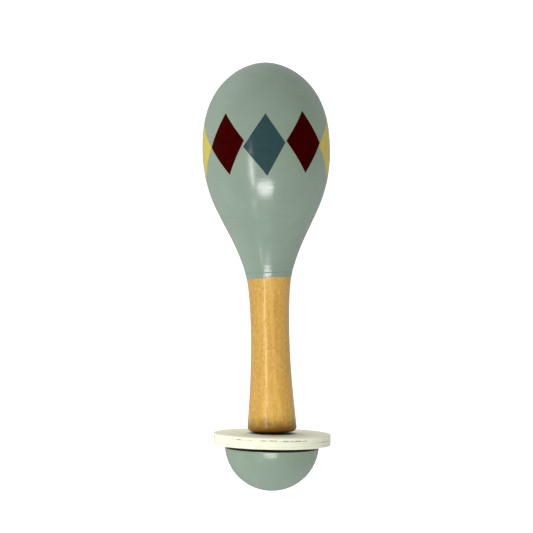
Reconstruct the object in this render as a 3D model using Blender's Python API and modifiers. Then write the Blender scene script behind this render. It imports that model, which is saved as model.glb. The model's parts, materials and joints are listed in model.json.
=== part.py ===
"""Wooden maraca: a hollow, egg-shaped head with rattling pellets on a turned handle.

A loose clapper disc slides on a spindle between the handle's foot and a half-ball end knob.
Metres, +Z up. The origin is on the axis at the handle's waist, where the hand holds it.
"""

import math

import bmesh
import bpy
import numpy as np

# Lengths along the axis, stacked up and down from the waist
UPPER_HANDLE_LENGTH = 0.0280
FUNNEL_HEIGHT = 0.0256
BELLY_HEIGHT = 0.0314
CROWN_HEIGHT = 0.0409
LOWER_HANDLE_LENGTH = 0.0457

# Outside diameters of the head and the handle
HEAD_DIAMETER = 0.0594
NECK_DIAMETER = 0.0220
WAIST_DIAMETER = 0.0180
FOOT_DIAMETER = 0.0232

# Slopes of the outline: growth of the radius for each unit of height
NECK_FLARE = 0.28
FOOT_FLARE = 0.05

# Bare ratios that shape the outline: powers of the crown, and each curve's pull towards its ends
CROWN_RISE_POWER = 2.45
CROWN_ROUND_POWER = 1.85
HEAD_FULLNESS = 0.456
NECK_PULL = 0.404
SHOULDER_PULL = 0.214
WAIST_PULL_UP = 0.321
WAIST_PULL_DOWN = 0.481
FOOT_PULL = 0.131

# Hollow head and its two glued joints
WALL = 0.0045
CHAMBER_DEPTH = 0.0075
FLOOR_THICKNESS = 0.0038
SPIGOT_HEIGHT = 0.0030
REBATE_STEP = 0.0008
TENON_DIAMETER = 0.0120

# Clapper disc, its spindle and the end knob
DISC_DIAMETER = 0.0547
DISC_THICKNESS = 0.00525
DISC_HEADROOM = 0.00125
DISC_FOOTROOM = 0.00135
DISC_CLEARANCE = 0.0006
SPINDLE_DIAMETER = 0.0090
HANDLE_BORE_DEPTH = 0.0180
KNOB_DIAMETER = 0.0440
KNOB_HEIGHT = 0.0202
KNOB_BORE_DEPTH = 0.0120
# The foot is bored slightly askew, so the spindle, the disc and the knob lean to one side
SPINDLE_LEAN = math.radians(2.2)

# Rattle pellets
PELLET_COUNT = 16
PELLET_DIAMETER = 0.0040
PELLET_CLEARANCE = 0.0004

# Gap that glued and resting pieces keep, and the soft edges
GAP = 0.0003
FOOT_ROUND = 0.0020
KNOB_ROUND = 0.0004
EDGE_ROUND = 0.0004
TENON_CHAMFER = 0.0010

# Fineness of the turned surfaces
TURN_STEPS = 36
SPINDLE_STEPS = 24
PELLET_SEGMENTS = 10
PELLET_RINGS = 6
OUTLINE_SAMPLES = 160
PROFILE_SPACING = 0.0040
FILLET_POINTS = 4
MERGE_DISTANCE = 0.00001
BORE_OVERSHOOT = 0.0020

# Heights that follow from the lengths
NECK_Z = UPPER_HANDLE_LENGTH
SEAM_Z = NECK_Z + FUNNEL_HEIGHT
WIDEST_Z = SEAM_Z + BELLY_HEIGHT
CROWN_Z = WIDEST_Z + CROWN_HEIGHT
FLOOR_Z = SEAM_Z - CHAMBER_DEPTH
SOCKET_Z = FLOOR_Z - FLOOR_THICKNESS
FOOT_Z = -LOWER_HANDLE_LENGTH

# Heights along the leaning spindle, counted from the foot
DISC_TOP = -DISC_HEADROOM
DISC_BOTTOM = DISC_TOP - DISC_THICKNESS
KNOB_TOP = DISC_BOTTOM - DISC_FOOTROOM

GOLDEN_ANGLE = math.pi * (3.0 - math.sqrt(5.0))
# Least distance between the points of a spiral of step 1 that turns by the golden angle
SPIRAL_SPACING = 1.546


def clear_scene():
    """Remove every object and the collections that held them."""
    for old in list(bpy.data.objects):
        bpy.data.objects.remove(old, do_unlink=True)
    for old in list(bpy.data.collections):
        bpy.data.collections.remove(old)


def bezier(start, start_pull, end_pull, end):
    """Cubic curve between two points of the outline, as an array of (radius, height)."""
    t = np.linspace(0.0, 1.0, OUTLINE_SAMPLES)[:, None]
    s = 1.0 - t
    start, start_pull, end_pull, end = map(np.array, (start, start_pull, end_pull, end))
    return s**3 * start + 3 * s**2 * t * start_pull + 3 * s * t**2 * end_pull + t**3 * end


def crown_outline():
    """Quarter of a superellipse from the crown on the axis down to the widest ring."""
    turn = np.linspace(math.pi / 2, 0.0, OUTLINE_SAMPLES)
    radius = HEAD_DIAMETER / 2 * np.abs(np.cos(turn)) ** (2 / CROWN_ROUND_POWER)
    height = WIDEST_Z + CROWN_HEIGHT * np.sin(turn) ** (2 / CROWN_RISE_POWER)
    radius[0] = 0.0
    return np.column_stack((radius, height))


def head_outline():
    """Outside of the head, from the crown on the axis down to the neck."""
    length = WIDEST_Z - NECK_Z
    widest = (HEAD_DIAMETER / 2, WIDEST_Z)
    neck = (NECK_DIAMETER / 2, NECK_Z)
    widest_pull = (widest[0], WIDEST_Z - HEAD_FULLNESS * length)
    neck_reach = NECK_PULL * length
    neck_pull = (neck[0] + NECK_FLARE * neck_reach, NECK_Z + neck_reach)
    body = bezier(widest, widest_pull, neck_pull, neck)
    return np.vstack((crown_outline(), body[1:]))


def handle_outline():
    """Outside of the handle, from the neck over the waist down to the foot."""
    neck = (NECK_DIAMETER / 2, NECK_Z)
    waist = (WAIST_DIAMETER / 2, 0.0)
    foot = (FOOT_DIAMETER / 2, FOOT_Z)
    shoulder_reach = SHOULDER_PULL * UPPER_HANDLE_LENGTH
    shoulder_pull = (neck[0] - NECK_FLARE * shoulder_reach, NECK_Z - shoulder_reach)
    waist_pull_up = (waist[0], WAIST_PULL_UP * UPPER_HANDLE_LENGTH)
    waist_pull_down = (waist[0], -WAIST_PULL_DOWN * LOWER_HANDLE_LENGTH)
    foot_reach = FOOT_PULL * LOWER_HANDLE_LENGTH
    foot_pull = (foot[0] - FOOT_FLARE * foot_reach, FOOT_Z + foot_reach)
    upper = bezier(neck, shoulder_pull, waist_pull_up, waist)
    lower = bezier(waist, waist_pull_down, foot_pull, foot)
    return np.vstack((upper, lower[1:]))


def inset(outline, depth):
    """The outline moved inwards by a depth, square to itself; it runs down the outer side."""
    along = np.gradient(outline, axis=0)
    along /= np.linalg.norm(along, axis=1)[:, None]
    inwards = np.column_stack((along[:, 1], -along[:, 0]))
    moved = outline + depth * inwards
    moved[0] = (0.0, outline[0, 1] - depth)
    return moved


def radius_at(outline, height):
    """Radius of a falling outline at a height."""
    return float(np.interp(-height, -outline[:, 1], outline[:, 0]))


def points_along(length):
    """Number of profile points, both ends included, that a length of curve takes."""
    return max(3, round(length / PROFILE_SPACING) + 1)


def stretch(outline, high, low):
    """Points at even distances along a falling outline, between two heights."""
    inside = outline[(outline[:, 1] < high) & (outline[:, 1] > low)]
    first = (radius_at(outline, high), high)
    last = (radius_at(outline, low), low)
    line = np.vstack((first, inside, last))
    steps = np.linalg.norm(np.diff(line, axis=0), axis=1)
    travelled = np.concatenate(([0.0], np.cumsum(steps)))
    marks = np.linspace(0.0, travelled[-1], points_along(travelled[-1]))
    return [(float(np.interp(mark, travelled, line[:, 0])),
             float(np.interp(mark, travelled, line[:, 1]))) for mark in marks]


def fillet(before, corner, after, size):
    """Soft edge in place of a corner: a curve that leaves each side a size away from it."""
    corner = np.array(corner)
    first = np.array(before) - corner
    last = np.array(after) - corner
    first = corner + first / np.linalg.norm(first) * size
    last = corner + last / np.linalg.norm(last) * size
    t = np.linspace(0.0, 1.0, FILLET_POINTS)[:, None]
    curve = (1 - t)**2 * first + 2 * t * (1 - t) * corner + t**2 * last
    return [tuple(point) for point in curve.tolist()]


def finish(name, colour, roughness, metallic=0.0):
    """Principled material with one colour."""
    material = bpy.data.materials.new(name)
    material.use_nodes = True
    shader = material.node_tree.nodes["Principled BSDF"]
    shader.inputs["Base Color"].default_value = (*colour, 1.0)
    shader.inputs["Roughness"].default_value = roughness
    shader.inputs["Metallic"].default_value = metallic
    material.diffuse_color = (*colour, 1.0)
    return material


def place(name, mesh, carrier, location, material=None):
    """Add a mesh as a named piece on the empty that carries it; a cutter has no material."""
    piece = bpy.data.objects.new(name, mesh)
    piece.location = location
    piece.parent = carrier
    if material is None:
        piece.hide_render = True
        piece.display_type = "WIRE"
        bpy.data.collections["cutters"].objects.link(piece)
    else:
        bpy.data.collections["wooden_maraca"].objects.link(piece)
        if not mesh.materials:
            mesh.materials.append(material)
    return piece


def turned(name, profile, carrier, material=None, height=0.0, closed=False, steps=TURN_STEPS):
    """Piece turned about its carrier's axis from a profile; its own origin sits at height."""
    points = [(radius, 0.0, z - height) for radius, z in profile]
    edges = [(i, i + 1) for i in range(len(points) - 1)]
    if closed:
        edges.append((len(points) - 1, 0))
    mesh = bpy.data.meshes.new(name)
    mesh.from_pydata(points, edges, [])
    piece = place(name, mesh, carrier, (0.0, 0.0, height), material)
    screw = piece.modifiers.new("Turn", "SCREW")
    screw.axis = "Z"
    screw.steps = steps
    screw.render_steps = steps
    screw.use_merge_vertices = True
    screw.merge_threshold = MERGE_DISTANCE
    screw.use_smooth_shade = True
    piece.modifiers.new("Even shading", "WEIGHTED_NORMAL")
    return piece


def chamber_radius(height):
    """Radius of the hollow head's inside wall at a height."""
    return radius_at(inset(head_outline(), WALL), height)


def rebate():
    """Top and radius of the rebate in the dome's mouth, which takes the funnel's spigot."""
    top = SEAM_Z + SPIGOT_HEIGHT + GAP
    return top, chamber_radius(top) + REBATE_STEP


def make_head_dome(axis, material):
    """Upper shell of the head: a deep cup with a rebated mouth that faces down."""
    outside = head_outline()
    mouth = SEAM_Z + GAP
    rebate_top, rebate_radius = rebate()
    inside = stretch(inset(outside, WALL), CROWN_Z - WALL, rebate_top)
    profile = stretch(outside, CROWN_Z, mouth)
    profile += [(rebate_radius, mouth), (rebate_radius, rebate_top)]
    profile += inside[::-1]
    return turned("head_dome", profile, axis, material)


def make_head_funnel(axis, material):
    """Lower shell of the head: the chamber's floor, a spigot above and a socket below."""
    outside = head_outline()
    wall = stretch(inset(outside, WALL), SEAM_Z, FLOOR_Z)
    spigot_top = SEAM_Z + SPIGOT_HEIGHT
    spigot_radius = rebate()[1] - GAP
    socket_radius = TENON_DIAMETER / 2 + GAP
    profile = [(0.0, FLOOR_Z)] + wall[::-1]
    profile += [(wall[0][0], spigot_top), (spigot_radius, spigot_top), (spigot_radius, SEAM_Z)]
    profile += stretch(outside, SEAM_Z, NECK_Z + GAP)
    profile += [(socket_radius, NECK_Z + GAP), (socket_radius, SOCKET_Z), (0.0, SOCKET_Z)]
    return turned("head_funnel", profile, axis, material)


def make_handle(axis, spindle_axis, material):
    """Waisted handle with a tenon on top and a blind, leaning bore for the spindle in its foot."""
    tenon_top = SOCKET_Z - GAP
    tenon_radius = TENON_DIAMETER / 2
    outline = handle_outline()
    above_foot = stretch(outline, NECK_Z, FOOT_Z + FOOT_ROUND)
    profile = [(0.0, tenon_top), (tenon_radius - TENON_CHAMFER, tenon_top)]
    profile += [(tenon_radius, tenon_top - TENON_CHAMFER), (tenon_radius, NECK_Z)]
    profile += above_foot[:-1]
    profile += fillet(above_foot[-1], (FOOT_DIAMETER / 2, FOOT_Z), (0.0, FOOT_Z), FOOT_ROUND)
    profile += [(0.0, FOOT_Z)]
    handle = turned("handle", profile, axis, material)

    bore_radius = SPINDLE_DIAMETER / 2 + GAP
    bore = [(0.0, HANDLE_BORE_DEPTH), (bore_radius, HANDLE_BORE_DEPTH)]
    bore += [(bore_radius, -BORE_OVERSHOOT), (0.0, -BORE_OVERSHOOT)]
    cut = handle.modifiers.new("Spindle bore", "BOOLEAN")
    cut.operation = "DIFFERENCE"
    cut.object = turned("spindle_bore", bore, spindle_axis, steps=SPINDLE_STEPS)
    return handle


def make_spindle(axis, material):
    """Dowel glued into the handle's foot and the end knob; the clapper disc slides on it."""
    radius = SPINDLE_DIAMETER / 2
    top = HANDLE_BORE_DEPTH - GAP
    bottom = KNOB_TOP - KNOB_BORE_DEPTH + GAP
    profile = [(0.0, top), (radius - EDGE_ROUND, top), (radius, top - EDGE_ROUND)]
    profile += [(radius, bottom + EDGE_ROUND), (radius - EDGE_ROUND, bottom), (0.0, bottom)]
    return turned("spindle", profile, axis, material, steps=SPINDLE_STEPS)


def make_clapper_disc(axis, material):
    """Loose disc with a wide hole, midway between foot and knob, with room to jump both ways."""
    rim = DISC_DIAMETER / 2
    hole = SPINDLE_DIAMETER / 2 + DISC_CLEARANCE
    top_rim, bottom_rim = (rim, DISC_TOP), (rim, DISC_BOTTOM)
    top_hole, bottom_hole = (hole, DISC_TOP), (hole, DISC_BOTTOM)
    profile = fillet(top_hole, top_rim, bottom_rim, EDGE_ROUND)
    profile += fillet(top_rim, bottom_rim, bottom_hole, EDGE_ROUND)
    profile += [bottom_hole, top_hole]
    middle = (DISC_TOP + DISC_BOTTOM) / 2
    return turned("clapper_disc", profile, axis, material, height=middle, closed=True)


def make_end_knob(axis, material):
    """Half ball with a flat top and a blind bore for the spindle."""
    ball = KNOB_DIAMETER / 2
    centre = KNOB_TOP - KNOB_HEIGHT + ball
    bore_radius = SPINDLE_DIAMETER / 2 + GAP
    bore_bottom = KNOB_TOP - KNOB_BORE_DEPTH
    shoulder = math.asin((KNOB_TOP - centre) / ball)
    bottom = -math.pi / 2
    angles = np.linspace(shoulder, bottom, points_along(ball * (shoulder - bottom)))
    arc = [(ball * math.cos(angle), centre + ball * math.sin(angle)) for angle in angles]
    profile = [(0.0, bore_bottom), (bore_radius, bore_bottom), (bore_radius, KNOB_TOP)]
    profile += fillet((bore_radius, KNOB_TOP), arc[0], arc[1], KNOB_ROUND)
    profile += arc[1:-1] + [(0.0, centre - ball)]
    return turned("end_knob", profile, axis, material)


def pellet_places():
    """Resting places of the pellets: golden-angle spirals on the floor, in layers if need be."""
    step = (PELLET_DIAMETER + PELLET_CLEARANCE) / SPIRAL_SPACING
    lowest = FLOOR_Z + GAP + PELLET_DIAMETER / 2
    reach = radius_at(inset(head_outline(), WALL + GAP + PELLET_DIAMETER / 2), lowest)
    per_layer = max(1, int((reach / step) ** 2 + 0.5))
    for number in range(PELLET_COUNT):
        layer, seat = divmod(number, per_layer)
        radius = step * math.sqrt(seat + 0.5) if per_layer > 1 else 0.0
        angle = seat * GOLDEN_ANGLE
        height = lowest + layer * (PELLET_DIAMETER + PELLET_CLEARANCE)
        yield radius * math.cos(angle), radius * math.sin(angle), height


def make_rattle_pellets(axis, material):
    """Loose pellets on the chamber's floor; they share one mesh."""
    ball = bmesh.new()
    bmesh.ops.create_uvsphere(ball, u_segments=PELLET_SEGMENTS, v_segments=PELLET_RINGS,
                              radius=PELLET_DIAMETER / 2)
    mesh = bpy.data.meshes.new("rattle_pellet")
    ball.to_mesh(mesh)
    ball.free()
    mesh.shade_smooth()
    return [place(f"rattle_pellet_{number:02d}", mesh, axis, location, material)
            for number, location in enumerate(pellet_places(), start=1)]


def add_axis(name, location, lean, carrier=None):
    """Empty on a turning axis, which carries the pieces that share it."""
    axis = bpy.data.objects.new(name, None)
    axis.location = location
    axis.rotation_euler = (0.0, lean, 0.0)
    axis.parent = carrier
    bpy.data.collections["wooden_maraca"].objects.link(axis)
    return axis


def main():
    clear_scene()
    for name in ("wooden_maraca", "cutters"):
        bpy.context.scene.collection.children.link(bpy.data.collections.new(name))
    axis = add_axis("maraca", (0.0, 0.0, 0.0), 0.0)
    spindle_axis = add_axis("spindle_axis", (0.0, 0.0, FOOT_Z), SPINDLE_LEAN, carrier=axis)

    sage = finish("sage_paint", (0.27, 0.34, 0.27), 0.38)
    honey = finish("honey_varnished_wood", (0.66, 0.38, 0.10), 0.35)
    cream = finish("cream_painted_plywood", (0.85, 0.83, 0.70), 0.50)
    birch = finish("bare_dowel_wood", (0.62, 0.46, 0.28), 0.70)
    steel = finish("pellet_steel", (0.56, 0.57, 0.58), 0.30, metallic=1.0)

    make_head_dome(axis, sage)
    make_head_funnel(axis, sage)
    make_handle(axis, spindle_axis, honey)
    make_spindle(spindle_axis, birch)
    make_clapper_disc(spindle_axis, cream)
    make_end_knob(spindle_axis, sage)
    make_rattle_pellets(axis, steel)


main()
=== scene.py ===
"""Finishes a turned wooden maraca: painted head, harlequin band, varnished handle, plywood clapper."""

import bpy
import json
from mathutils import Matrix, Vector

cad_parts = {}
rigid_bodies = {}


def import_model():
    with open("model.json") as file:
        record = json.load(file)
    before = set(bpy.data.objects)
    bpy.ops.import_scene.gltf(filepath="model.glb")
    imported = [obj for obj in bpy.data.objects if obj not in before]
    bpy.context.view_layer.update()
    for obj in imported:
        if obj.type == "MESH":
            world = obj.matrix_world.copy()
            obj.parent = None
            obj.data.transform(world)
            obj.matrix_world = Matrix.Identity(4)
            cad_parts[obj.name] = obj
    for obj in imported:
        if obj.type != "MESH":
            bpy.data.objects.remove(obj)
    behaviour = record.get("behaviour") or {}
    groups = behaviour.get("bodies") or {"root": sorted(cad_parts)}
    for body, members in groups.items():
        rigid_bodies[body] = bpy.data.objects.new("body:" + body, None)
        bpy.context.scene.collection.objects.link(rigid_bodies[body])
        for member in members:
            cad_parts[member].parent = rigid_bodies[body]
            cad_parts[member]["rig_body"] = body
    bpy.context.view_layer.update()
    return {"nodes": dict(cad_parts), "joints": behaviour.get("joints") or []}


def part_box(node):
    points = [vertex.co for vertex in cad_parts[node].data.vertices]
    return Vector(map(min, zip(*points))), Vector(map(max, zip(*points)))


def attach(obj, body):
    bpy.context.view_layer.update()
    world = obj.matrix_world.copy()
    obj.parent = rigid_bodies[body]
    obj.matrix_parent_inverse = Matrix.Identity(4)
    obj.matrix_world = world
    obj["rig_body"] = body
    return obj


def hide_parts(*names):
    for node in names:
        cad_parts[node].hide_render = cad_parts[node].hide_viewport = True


bl_info = {
    "name": "Wooden maraca finish",
    "version": (1, 0, 0),
    "blender": (4, 5, 0),
    "location": "View3D > Sidebar > Maraca",
    "description": "Dresses the solids of a wooden maraca in paint, varnish and plywood, in a white studio",
    "category": "Object",
}

import json
import math

import bpy
import numpy as np
from bpy.props import FloatProperty, FloatVectorProperty, PointerProperty
from mathutils import Matrix, Vector

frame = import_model()

# Levels and radii read from the packed solids, in metres
GAP = 0.0003
DOME_LOW, DOME_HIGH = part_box("head_dome")
FUNNEL_LOW, FUNNEL_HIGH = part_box("head_funnel")
HANDLE_LOW, HANDLE_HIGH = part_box("handle")
DISC_LOW, DISC_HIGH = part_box("clapper_disc")
HEAD_RADIUS = DOME_HIGH.x
CROWN_Z = DOME_HIGH.z
SEAM_Z = DOME_LOW.z - GAP
SPIGOT_TOP = FUNNEL_HIGH.z
NECK_Z = FUNNEL_LOW.z - GAP
TENON_TOP = HANDLE_HIGH.z
SOCKET_TOP = TENON_TOP + GAP
FOOT_Z = HANDLE_LOW.z
DISC_RADIUS = (DISC_HIGH.y - DISC_LOW.y) / 2
PELLETS = sorted(name for name in frame["nodes"] if name.startswith("rattle_pellet"))

# The spindle leans with the clapper's slide, about the middle of the handle's foot
SLIDE = next(joint for joint in frame["joints"] if joint["name"] == "clapper_slide")
LEAN = math.atan2(SLIDE["axis"][0], SLIDE["axis"][2])
FOOT_CENTRE = np.array([0.0, 0.0, FOOT_Z])

# Outline values that the solids are turned to
CROWN_HEIGHT = 0.0409
WIDEST_Z = CROWN_Z - CROWN_HEIGHT
NECK_RADIUS = 0.0110
WAIST_RADIUS = 0.0090
FOOT_RADIUS = 0.0116
NECK_FLARE = 0.28
FOOT_FLARE = 0.05
CROWN_RISE_POWER = 2.45
CROWN_ROUND_POWER = 1.85
HEAD_FULLNESS = 0.456
NECK_PULL = 0.404
SHOULDER_PULL = 0.214
WAIST_PULL_UP = 0.321
WAIST_PULL_DOWN = 0.481
FOOT_PULL = 0.131
FOOT_ROUND = 0.0020

# Walls, sockets and bores inside
WALL = 0.0045
FLOOR_THICKNESS = 0.0038
CHAMBER_FLOOR = SOCKET_TOP + FLOOR_THICKNESS
REBATE_STEP = 0.0008
TENON_RADIUS = 0.0060
TENON_CHAMFER = 0.0010
SPINDLE_RADIUS = 0.0045
HANDLE_BORE_DEPTH = 0.0180
KNOB_BORE_DEPTH = 0.0120

# Levels along the leaning spindle, below the foot
DISC_TOP = -0.00125
DISC_THICKNESS = 0.00525
DISC_BOTTOM = DISC_TOP - DISC_THICKNESS
DISC_CLEARANCE = 0.0006
DISC_FOOTROOM = 0.00135
KNOB_TOP = DISC_BOTTOM - DISC_FOOTROOM
KNOB_RADIUS = 0.0220
KNOB_HEIGHT = 0.0202
KNOB_ROUND = 0.0004
EDGE_ROUND = 0.0004

# Mesh fineness
FINE_STEP = 0.0003
WOOD_STEP = 0.0004
COARSE_STEP = 0.0015
OUTLINE_SAMPLES = 600
HEAD_COLUMNS = 180
HANDLE_COLUMNS = 144
DISC_COLUMNS = 480
SMALL_COLUMNS = 48
ARC_SAMPLES = 9
POINT_SIZE = 1e-8

# Camera sensor in millimetres, and a millimetre in metres
SENSOR_WIDTH = 36.0
MM = 0.001


def length_value(name, description, default):
    """A length that the panel shows in the scene's own unit."""
    return FloatProperty(name=name, description=description, default=default, unit="LENGTH", precision=5)


def colour_value(name, description, default):
    """A linear colour with a picker."""
    return FloatVectorProperty(
        name=name, description=description, default=default, subtype="COLOR", size=3, min=0.0, max=1.0
    )


def plain_value(name, description, default):
    """A number of no unit, such as a roughness."""
    return FloatProperty(name=name, description=description, default=default, min=0.0, precision=3)


class MaracaPaint(bpy.types.PropertyGroup):
    """Colours and gloss of the painted parts"""

    sage: colour_value("Sage", "Head, knob and neck", (0.262, 0.342, 0.268))
    burgundy: colour_value("Burgundy", "Dark red diamonds", (0.038, 0.0, 0.0))
    slate_blue: colour_value("Slate blue", "Blue grey diamonds", (0.0285, 0.0655, 0.069))
    yellow: colour_value("Yellow", "Straw yellow diamonds", (0.61, 0.495, 0.068))
    cream: colour_value("Cream", "Clapper disc", (0.895, 0.905, 0.705))
    roughness: plain_value("Roughness", "Gloss of the sage paint", 0.20)


class MaracaWood(bpy.types.PropertyGroup):
    """Colours of the turned wood"""

    honey: colour_value("Honey", "Varnished handle", (0.770, 0.448, 0.097))
    amber: colour_value("Amber", "Darker bands of the grain", (0.635, 0.351, 0.070))
    # Colour of the painted shade on both sides of the handle
    side_shade: colour_value("Heart", "Darker wood on both sides", (0.457, 0.242, 0.032))
    fleck: colour_value("Fleck", "Pale flecks", (0.88, 0.59, 0.21))
    # Colour of the stain round the foot, which also stands for painted shade from the disc
    foot_stain_and_shade: colour_value("Stain", "Darker varnish round the foot", (0.30, 0.106, 0.002))
    # Near black, as painted shade for the spindle seen in the gap under the foot
    dowel: colour_value("Dowel", "Darkened bare wood of the spindle", (0.10, 0.062, 0.034))


class MaracaTurning(bpy.types.PropertyGroup):
    """Marks of the lathe and of the joints on the turned parts"""

    ring_depth: length_value("Ring depth", "Height of the lathe rings under the paint", 0.000003)
    ring_spacing: length_value("Ring spacing", "Distance between fine lathe rings", 0.0016)
    seam_ridge: length_value("Seam ridge", "Height of the paint bead over the head's seam", 0.00006)
    seam_width: length_value("Seam width", "Reach of that bead to each side", 0.00030)
    neck_crease: length_value("Neck crease", "Rounding on each side of the neck's joint", 0.00020)
    lap_length: length_value("Lap length", "How far the sage paint laps over the handle", 0.0026)
    lap_film: length_value("Lap film", "Thickness of the paint on the handle", 0.00006)


class MaracaBand(bpy.types.PropertyGroup):
    """Sizes of the harlequin band"""

    height: length_value("Height", "Level of the diamonds' middles", 0.0866)
    half_width: length_value("Half width", "From a diamond's middle to its side corner", 0.0098)
    half_height: length_value("Half height", "From a diamond's middle to its tip", 0.0142)
    film: length_value("Film", "Thickness of the paint", 0.00005)
    bead: length_value("Bead", "Extra thickness along the edges", 0.00002)


class MaracaClapper(bpy.types.PropertyGroup):
    """Plywood of the clapper disc"""

    upper_glue: length_value("Upper glue line", "Depth of the first glue line below the top", 0.00125)
    lower_glue: length_value("Lower glue line", "Depth of the second glue line below the top", 0.0039)
    void_depth: length_value("Void depth", "Depth of the torn voids in the rim", 0.00030)
    glue_width: length_value("Glue line width", "Half height of a torn void", 0.00030)


class MaracaStudio(bpy.types.PropertyGroup):
    """Camera and light"""

    distance: length_value("Distance", "From the camera to the maraca's axis", 0.900)
    lens: FloatProperty(name="Lens", description="Focal length", default=130.34, unit="CAMERA")
    aside: length_value("Aside", "How far the camera stands to the right", -0.00103)
    height: length_value("Height", "Level of the camera above the waist", 0.0308)
    roll: FloatProperty(name="Roll", description="Turn of the camera", default=math.radians(1.20),
                        subtype="ANGLE")
    floor_drop: length_value("Floor drop", "From the waist down to the floor", 0.75)
    ambient_bright: plain_value("Bright side", "Light from the surroundings, behind on the left", 1.60)
    ambient_dim: plain_value("Dim side", "Light from the surroundings, in front on the right", 0.22)
    mirror_front: plain_value("Mirrored in front", "Brightness in reflections of what is in front", 0.10)
    mirror_back: plain_value("Mirrored behind", "Brightness in reflections of what is behind", 0.37)
    floor_glow: plain_value("Floor glow", "How far the floor is lifted towards white", 0.16)
    key: plain_value("Key", "Power of the low front light", 1.36)
    strip: plain_value("Strip", "Power of the narrow light on the left", 0.48)
    patch: plain_value("Patch", "Power of the small light low on the left", 0.06)


# Outlines, as lines of (radius, height) that run down the outer side
def bezier(start, first, second, end):
    """Cubic curve: the four points weighted by (1-t)^3, 3t(1-t)^2, 3t^2(1-t) and t^3."""
    t = np.linspace(0.0, 1.0, OUTLINE_SAMPLES)[:, None]
    weights = ((1 - t) ** 3, 3 * t * (1 - t) ** 2, 3 * t ** 2 * (1 - t), t ** 3)
    return sum(weight * np.array(point) for weight, point in zip(weights, (start, first, second, end)))


def head_outline():
    """A superellipse over a cubic curve.

    The crown is r = R cos(t)^(2/p), z = widest + H sin(t)^(2/q), from the tip down to the widest ring.
    The belly leaves it upright and comes to the neck at the neck's flare.
    """
    t = np.linspace(math.pi / 2, 0.0, OUTLINE_SAMPLES)
    radius = HEAD_RADIUS * np.cos(t) ** (2 / CROWN_ROUND_POWER)
    height = WIDEST_Z + CROWN_HEIGHT * np.sin(t) ** (2 / CROWN_RISE_POWER)
    crown = np.column_stack((radius, height))
    crown[0, 0] = 0.0
    fall = WIDEST_Z - NECK_Z
    belly = bezier(
        (HEAD_RADIUS, WIDEST_Z),
        (HEAD_RADIUS, WIDEST_Z - HEAD_FULLNESS * fall),
        (NECK_RADIUS + NECK_FLARE * NECK_PULL * fall, NECK_Z + NECK_PULL * fall),
        (NECK_RADIUS, NECK_Z),
    )
    return np.vstack((crown, belly[1:]))


def handle_outline():
    """Two cubic curves that meet upright at the waist, from the neck's flare to the foot's."""
    upper = bezier(
        (NECK_RADIUS, NECK_Z),
        (NECK_RADIUS - NECK_FLARE * SHOULDER_PULL * NECK_Z, NECK_Z - SHOULDER_PULL * NECK_Z),
        (WAIST_RADIUS, WAIST_PULL_UP * NECK_Z),
        (WAIST_RADIUS, 0.0),
    )
    lower = bezier(
        (WAIST_RADIUS, 0.0),
        (WAIST_RADIUS, WAIST_PULL_DOWN * FOOT_Z),
        (FOOT_RADIUS + FOOT_FLARE * FOOT_PULL * FOOT_Z, FOOT_Z - FOOT_PULL * FOOT_Z),
        (FOOT_RADIUS, FOOT_Z),
    )
    return np.vstack((upper, lower[1:]))


def outward(line):
    """Unit normals of a line of (radius, height): its direction turned a quarter turn to the outside."""
    along = np.gradient(line, axis=0)
    along /= np.linalg.norm(along, axis=1)[:, None]
    return np.column_stack((-along[:, 1], along[:, 0]))


def inset(line, depth):
    """The line moved inwards along its normals; its tip stays on the axis."""
    moved = line - depth * outward(line)
    moved[0] = (0.0, line[0, 1] - depth)
    return moved


def radius_at(line, height):
    """Radius of a falling line at one height or at an array of heights."""
    return np.interp(height, line[::-1, 1], line[::-1, 0])


def stretch(line, top, bottom):
    """The part of a falling line between two heights, with its ends cut square."""
    inside = line[(line[:, 1] < top) & (line[:, 1] > bottom)]
    ends = [(radius_at(line, height), height) for height in (top, bottom)]
    return np.vstack((ends[:1], inside, ends[1:]))


def spaced(line, step):
    """The same line at even steps: both coordinates are read at even marks of its running length."""
    length = np.concatenate(([0.0], np.cumsum(np.hypot(*np.diff(line, axis=0).T))))
    marks = np.linspace(0.0, length[-1], max(2, round(length[-1] / step) + 1))
    return np.column_stack([np.interp(marks, length, values) for values in line.T])


def straight(*points, step=COARSE_STEP):
    """Straight lines from point to point, each at even steps."""
    return np.vstack([spaced(np.array(pair, dtype=float), step) for pair in zip(points, points[1:])])


def arc(centre, radius, start, stop, samples=ARC_SAMPLES):
    """Part of a circle: centre + radius (cos a, sin a) for a from start to stop, in degrees."""
    a = np.radians(np.linspace(start, stop, samples))
    return np.column_stack((centre[0] + radius * np.cos(a), centre[1] + radius * np.sin(a)))


def joined(*lines):
    """Lines laid end to end, with points that fall together left out."""
    line = np.vstack(lines)
    apart = np.linalg.norm(np.diff(line, axis=0), axis=1) > POINT_SIZE
    return line[np.concatenate(([True], apart))]


# Surfaces
def turns(columns):
    """Even angles round the axis, from the front (-Y) towards the right (+X)."""
    return np.linspace(-math.pi, math.pi, columns, endpoint=False)


def swept(radius, height, turn):
    """Points at (r sin v, -r cos v, z): a radius and a height carried round the axis by the angle v."""
    radius, height, turn = np.broadcast_arrays(radius, height, turn)
    return np.stack((radius * np.sin(turn), -radius * np.cos(turn), height), axis=-1)


def turned(line, columns, swell=0.0, rise=0.0):
    """Turned surface of a line: each point, moved out by swell along the line's normal and up by rise,
    is carried round the axis."""
    normal = outward(line)
    radius = line[:, :1] + normal[:, :1] * swell
    height = line[:, 1:] + normal[:, 1:] * swell + rise
    return swept(radius, height, turns(columns))


def leaning(points):
    """Points about the foot's middle tipped by the spindle's lean about Y:
    x' = x cos a + z sin a, z' = z cos a - x sin a, with z counted from the foot."""
    x, y, z = np.moveaxis(points, -1, 0)
    tipped = np.stack((x * math.cos(LEAN) + z * math.sin(LEAN), y,
                       z * math.cos(LEAN) - x * math.sin(LEAN)), axis=-1)
    return tipped + FOOT_CENTRE


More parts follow.
